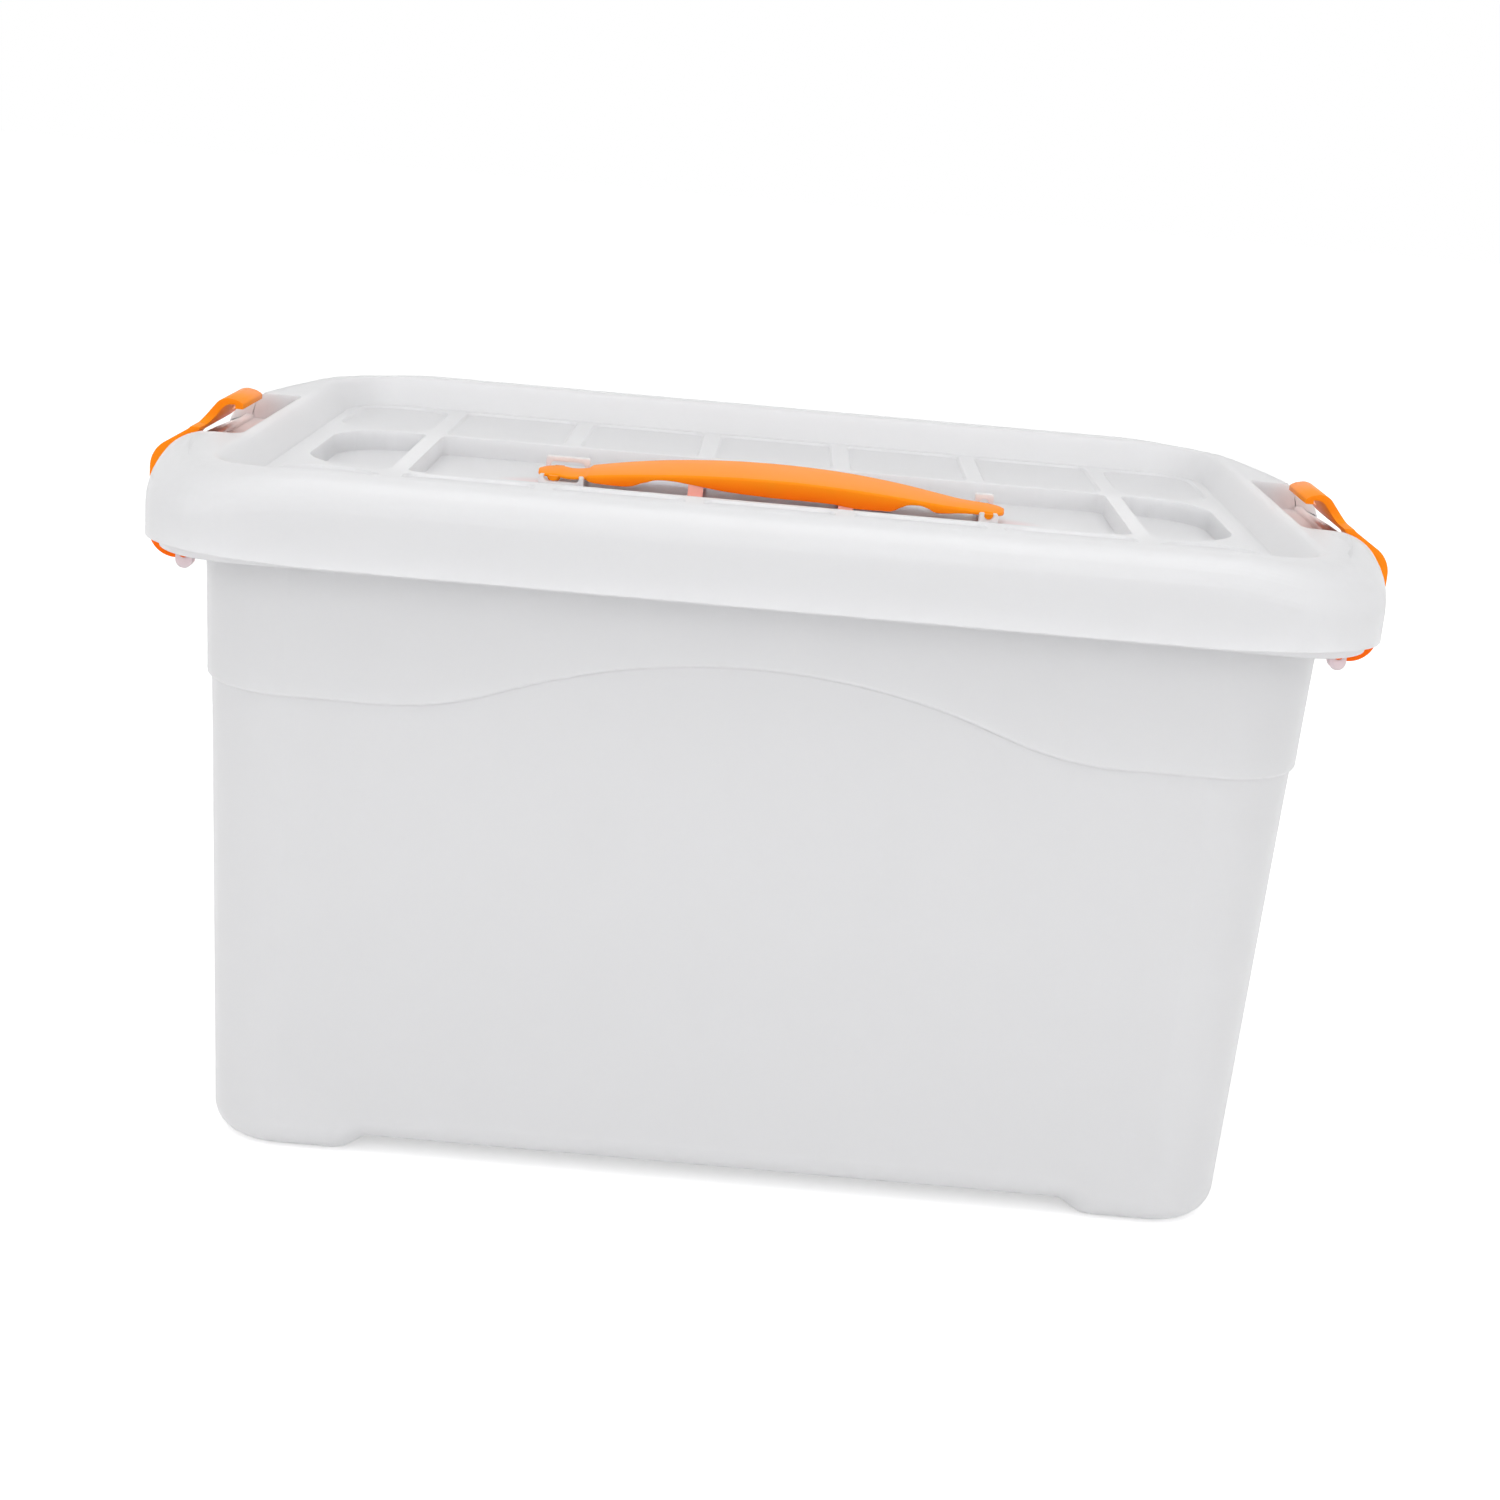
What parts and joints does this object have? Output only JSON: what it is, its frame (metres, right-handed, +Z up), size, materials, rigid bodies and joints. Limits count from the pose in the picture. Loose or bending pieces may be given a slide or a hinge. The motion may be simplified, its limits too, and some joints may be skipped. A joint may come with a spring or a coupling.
{
  "type": "lidded storage box",
  "caption": "Rectangular moulded storage box with a snap-over lid, a hinged latch at each end and a low strap handle lying in a channel of the lid.",
  "frame": {"origin": "bottom centre, in the plane that the four corner feet stand on", "axes": "+X along the long side, away from the handle's slotted posts, +Y to the back, +Z up"},
  "size_m": [0.3658, 0.23, 0.2035],
  "materials": {
    "milky_plastic": "milky, slightly translucent moulded polypropylene with a satin surface",
    "orange_plastic": "smooth, slightly translucent moulded polypropylene"
  },
  "bodies": {
    "tub": {"tub": "milky_plastic"},
    "lid": {"lid": "milky_plastic"},
    "left_latch": {"left_latch": "orange_plastic"},
    "right_latch": {"right_latch": "orange_plastic"},
    "handle_left_arm": {"handle_left_arm": "orange_plastic"},
    "handle_grip": {"handle_grip": "orange_plastic"},
    "handle_right_arm": {"handle_right_arm": "orange_plastic"}
  },
  "joints": [
    {"name": "lid_lift", "type": "slide", "parent": "tub", "child": "lid", "axis": [0, 0, 1], "range_m": [0, 0.0393]},
    {"name": "left_latch_turn", "type": "hinge", "parent": "tub", "child": "left_latch", "pos_m": [-0.1712, 0, 0.1593], "axis": [0, -1, 0], "range_deg": [0, 150.2]},
    {"name": "right_latch_turn", "type": "hinge", "parent": "tub", "child": "right_latch", "pos_m": [0.1712, 0, 0.1593], "axis": [0, 1, 0], "range_deg": [0, 150.2]},
    {"name": "handle_raise", "type": "hinge", "parent": "lid", "child": "handle_right_arm", "pos_m": [0.0655, 0, 0.1884], "axis": [0, 1, 0], "range_deg": [0, 18]},
    {"name": "right_flex", "type": "hinge", "parent": "handle_right_arm", "child": "handle_grip", "pos_m": [0.033, 0, 0.19284], "axis": [0, 1, 0], "range_deg": [-18.1, 0]},
    {"name": "left_flex", "type": "hinge", "parent": "handle_grip", "child": "handle_left_arm", "pos_m": [-0.033, 0, 0.19284], "axis": [0, 1, 0], "range_deg": [-18.1, 0]}
  ],
  "couplings": [
    {"joint": "left_latch_turn", "follows": "lid_lift", "rad_per_m": 66.667},
    {"joint": "right_latch_turn", "follows": "lid_lift", "rad_per_m": 66.667},
    {"joint": "left_flex", "follows": "handle_raise", "ratio": -1},
    {"joint": "right_flex", "follows": "handle_raise", "ratio": -1}
  ]
}
